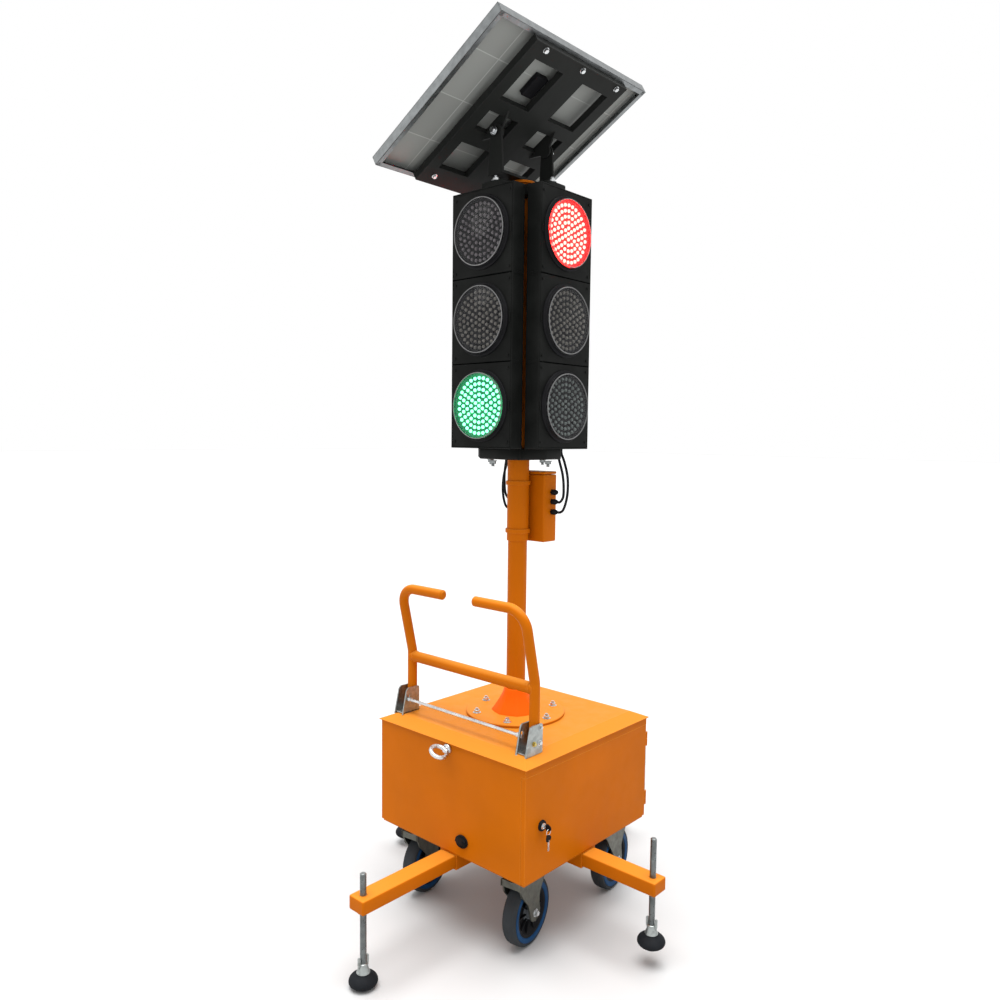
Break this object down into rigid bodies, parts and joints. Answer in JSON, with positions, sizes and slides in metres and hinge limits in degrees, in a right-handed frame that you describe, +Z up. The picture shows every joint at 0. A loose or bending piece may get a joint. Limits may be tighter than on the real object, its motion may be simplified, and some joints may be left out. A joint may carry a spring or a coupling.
{
  "type": "portable traffic light",
  "caption": "Solar traffic light on a wheeled battery cabinet with telescoping outriggers, a folding handle and signal heads round a mast.",
  "frame": {"origin": "on the ground, under the mast's axis, at the middle of the outriggers' footprint", "axes": "+Z up along the mast; +X towards the cabinet door; -Y towards the push handle"},
  "size_m": [1.118, 1.308, 2.5893],
  "materials": {
    "orange_paint": "satin powder coat",
    "bright_paint": "satin powder coat",
    "zinc": "bright zinc",
    "galvanised": "dull galvanised",
    "grey_steel": "matt grey",
    "black_steel": "satin black",
    "black_plastic": "moulded black",
    "lamp_plastic": "black with smoked lenses",
    "black_rubber": "matt",
    "wheel_plastic": "blue centre, dark tread",
    "panel_aluminium": "anodised frame, pale back sheet"
  },
  "bodies": {
    "base": {"chassis": "orange_paint", "cabinet_shell": "orange_paint", "cabinet_top": "orange_paint", "lifting_eye": "zinc", "charging_socket_cap": "black_plastic", "battery": "black_plastic", "charge_controller": "black_plastic", "handle_bracket_left": "galvanised", "handle_bracket_right": "galvanised", "mast_base": "bright_paint", "mast_lower_tube": "orange_paint", "door_hinge_pin": "zinc"},
    "door": {"cabinet_door": "orange_paint"},
    "lock_key": {"lock_key": "zinc"},
    "spare_key": {"spare_key": "zinc"},
    "handle": {"handle": "orange_paint"},
    "handle_lock_rod": {"handle_lock_rod": "zinc"},
    "arm_front": {"outrigger_arm_front": "orange_paint"},
    "jack_screw_front": {"jack_screw_front": "galvanised"},
    "jack_foot_front": {"jack_foot_front": "black_rubber"},
    "arm_door_side": {"outrigger_arm_door_side": "orange_paint"},
    "jack_screw_door_side": {"jack_screw_door_side": "galvanised"},
    "jack_foot_door_side": {"jack_foot_door_side": "black_rubber"},
    "arm_rear": {"outrigger_arm_rear": "orange_paint"},
    "jack_screw_rear": {"jack_screw_rear": "galvanised"},
    "jack_foot_rear": {"jack_foot_rear": "black_rubber"},
    "arm_far_side": {"outrigger_arm_far_side": "orange_paint"},
    "jack_screw_far_side": {"jack_screw_far_side": "galvanised"},
    "jack_foot_far_side": {"jack_foot_far_side": "black_rubber"},
    "castor_front_right": {"castor_fork_front_right": "grey_steel"},
    "wheel_front_right": {"castor_wheel_front_right": "wheel_plastic"},
    "brake_front_right": {"brake_pedal_front_right": "black_plastic"},
    "castor_front_left": {"castor_fork_front_left": "grey_steel"},
    "wheel_front_left": {"castor_wheel_front_left": "wheel_plastic"},
    "brake_front_left": {"brake_pedal_front_left": "black_plastic"},
    "castor_rear_right": {"castor_fork_rear_right": "grey_steel"},
    "wheel_rear_right": {"castor_wheel_rear_right": "wheel_plastic"},
    "brake_rear_right": {"brake_pedal_rear_right": "black_plastic"},
    "castor_rear_left": {"castor_fork_rear_left": "grey_steel"},
    "wheel_rear_left": {"castor_wheel_rear_left": "wheel_plastic"},
    "brake_rear_left": {"brake_pedal_rear_left": "black_plastic"},
    "heads": {"mast_sleeve": "orange_paint", "control_box": "orange_paint", "head_bracket_top": "black_steel", "head_bracket_bottom": "black_steel", "tilt_yoke": "black_steel", "signal_head_front": "black_plastic", "signal_head_door_side": "black_plastic", "signal_head_rear": "black_plastic", "signal_head_far_side": "black_plastic", "lamp_panel_front": "lamp_plastic", "lamp_panel_door_side": "lamp_plastic", "lamp_panel_rear": "lamp_plastic", "lamp_panel_far_side": "lamp_plastic", "cable_right_outer": "black_rubber", "cable_right_inner": "black_rubber", "cable_left_outer": "black_rubber", "cable_left_inner": "black_rubber"},
    "panel": {"panel_ladder_frame": "black_steel", "solar_panel": "panel_aluminium"}
  },
  "joints": [
    {"name": "door_hinge", "type": "hinge", "parent": "base", "child": "door", "pos_m": [0.293, 0.307, 0.42], "axis": [0, 0, 1], "range_deg": [0, 30]},
    {"name": "lock_turn", "type": "hinge", "parent": "door", "child": "lock_key", "pos_m": [0.29, -0.229, 0.414], "axis": [1, 0, 0], "range_deg": [0, 90]},
    {"name": "spare_key_swing", "type": "hinge", "parent": "lock_key", "child": "spare_key", "pos_m": [0.325, -0.229, 0.4114], "axis": [0, 1, 0], "range_deg": [-40, 15]},
    {"name": "handle_fold", "type": "hinge", "parent": "base", "child": "handle", "pos_m": [0, -0.212, 0.638], "axis": [-1, 0, 0], "range_deg": [0, 70]},
    {"name": "handle_lock_lift", "type": "slide", "parent": "base", "child": "handle_lock_rod", "axis": [0, 0, 1], "range_m": [0, 0.01], "stiffness_N_per_m": 800, "springref_m": -0.01},
    {"name": "arm_slide_front", "type": "slide", "parent": "base", "child": "arm_front", "axis": [0, -1, 0], "range_m": [-0.165, 0]},
    {"name": "jack_lift_front", "type": "slide", "parent": "arm_front", "child": "jack_foot_front", "axis": [0, 0, 1], "range_m": [-0.045, 0.12]},
    {"name": "jack_turn_front", "type": "hinge", "parent": "jack_foot_front", "child": "jack_screw_front", "pos_m": [0, -0.615, 0.1], "axis": [0, 0, 1], "range_deg": [-6482, 17282]},
    {"name": "arm_slide_door_side", "type": "slide", "parent": "base", "child": "arm_door_side", "axis": [1, 0, 0], "range_m": [-0.07, 0.095]},
    {"name": "jack_lift_door_side", "type": "slide", "parent": "arm_door_side", "child": "jack_foot_door_side", "axis": [0, 0, 1], "range_m": [-0.0975, 0.065]},
    {"name": "jack_turn_door_side", "type": "hinge", "parent": "jack_foot_door_side", "child": "jack_screw_door_side", "pos_m": [0.52, 0, 0.153], "axis": [0, 0, 1], "range_deg": [-14042, 9362]},
    {"name": "arm_slide_rear", "type": "slide", "parent": "base", "child": "arm_rear", "axis": [0, 1, 0], "range_m": [-0.165, 0]},
    {"name": "jack_lift_rear", "type": "slide", "parent": "arm_rear", "child": "jack_foot_rear", "axis": [0, 0, 1], "range_m": [-0.12, 0.045]},
    {"name": "jack_turn_rear", "type": "hinge", "parent": "jack_foot_rear", "child": "jack_screw_rear", "pos_m": [0, 0.615, 0.175], "axis": [0, 0, 1], "range_deg": [-17282, 6482]},
    {"name": "arm_slide_far_side", "type": "slide", "parent": "base", "child": "arm_far_side", "axis": [-1, 0, 0], "range_m": [-0.07, 0.095]},
    {"name": "jack_lift_far_side", "type": "slide", "parent": "arm_far_side", "child": "jack_foot_far_side", "axis": [0, 0, 1], "range_m": [-0.0675, 0.095]},
    {"name": "jack_turn_far_side", "type": "hinge", "parent": "jack_foot_far_side", "child": "jack_screw_far_side", "pos_m": [-0.52, 0, 0.124], "axis": [0, 0, 1], "range_deg": [-9722, 13682]},
    {"name": "castor_swivel_front_right", "type": "hinge", "parent": "base", "child": "castor_front_right", "pos_m": [0.2, -0.214, 0.23], "axis": [0, 0, 1], "continuous": true},
    {"name": "wheel_spin_front_right", "type": "hinge", "parent": "castor_front_right", "child": "wheel_front_right", "pos_m": [0.19276, -0.16251, 0.1], "axis": [-0.9903, -0.1392, 0], "continuous": true},
    {"name": "brake_press_front_right", "type": "hinge", "parent": "castor_front_right", "child": "brake_front_right", "pos_m": [0.19304, -0.16449, 0.213], "axis": [-0.9903, -0.1392, 0], "range_deg": [0, 12]},
    {"name": "castor_swivel_front_left", "type": "hinge", "parent": "base", "child": "castor_front_left", "pos_m": [-0.23, -0.214, 0.23], "axis": [0, 0, 1], "continuous": true},
    {"name": "wheel_spin_front_left", "type": "hinge", "parent": "castor_front_left", "child": "wheel_front_left", "pos_m": [-0.23724, -0.16251, 0.1], "axis": [-0.9903, -0.1392, 0], "continuous": true},
    {"name": "brake_press_front_left", "type": "hinge", "parent": "castor_front_left", "child": "brake_front_left", "pos_m": [-0.23696, -0.16449, 0.213], "axis": [-0.9903, -0.1392, 0], "range_deg": [0, 12]},
    {"name": "castor_swivel_rear_right", "type": "hinge", "parent": "base", "child": "castor_rear_right", "pos_m": [0.2, 0.214, 0.23], "axis": [0, 0, 1], "continuous": true},
    {"name": "wheel_spin_rear_right", "type": "hinge", "parent": "castor_rear_right", "child": "wheel_rear_right", "pos_m": [0.19276, 0.26549, 0.1], "axis": [-0.9903, -0.1392, 0], "continuous": true},
    {"name": "brake_press_rear_right", "type": "hinge", "parent": "castor_rear_right", "child": "brake_rear_right", "pos_m": [0.19304, 0.26351, 0.213], "axis": [-0.9903, -0.1392, 0], "range_deg": [0, 12]},
    {"name": "castor_swivel_rear_left", "type": "hinge", "parent": "base", "child": "castor_rear_left", "pos_m": [-0.23, 0.214, 0.23], "axis": [0, 0, 1], "continuous": true},
    {"name": "wheel_spin_rear_left", "type": "hinge", "parent": "castor_rear_left", "child": "wheel_rear_left", "pos_m": [-0.23724, 0.26549, 0.1], "axis": [-0.9903, -0.1392, 0], "continuous": true},
    {"name": "brake_press_rear_left", "type": "hinge", "parent": "castor_rear_left", "child": "brake_rear_left", "pos_m": [-0.23696, 0.26351, 0.213], "axis": [-0.9903, -0.1392, 0], "range_deg": [0, 12]},
    {"name": "heads_turn", "type": "hinge", "parent": "base", "child": "heads", "pos_m": [0, 0, 1.7], "axis": [0, 0, 1], "range_deg": [-90, 90]},
    {"name": "panel_tilt", "type": "hinge", "parent": "heads", "child": "panel", "pos_m": [0, 0, 2.38], "axis": [0, 1, 0], "range_deg": [-10, 29.4]}
  ],
  "couplings": [
    {"joint": "jack_turn_front", "follows": "jack_lift_front", "rad_per_m": 2513.3},
    {"joint": "jack_turn_door_side", "follows": "jack_lift_door_side", "rad_per_m": 2513.3},
    {"joint": "jack_turn_rear", "follows": "jack_lift_rear", "rad_per_m": 2513.3},
    {"joint": "jack_turn_far_side", "follows": "jack_lift_far_side", "rad_per_m": 2513.3}
  ]
}
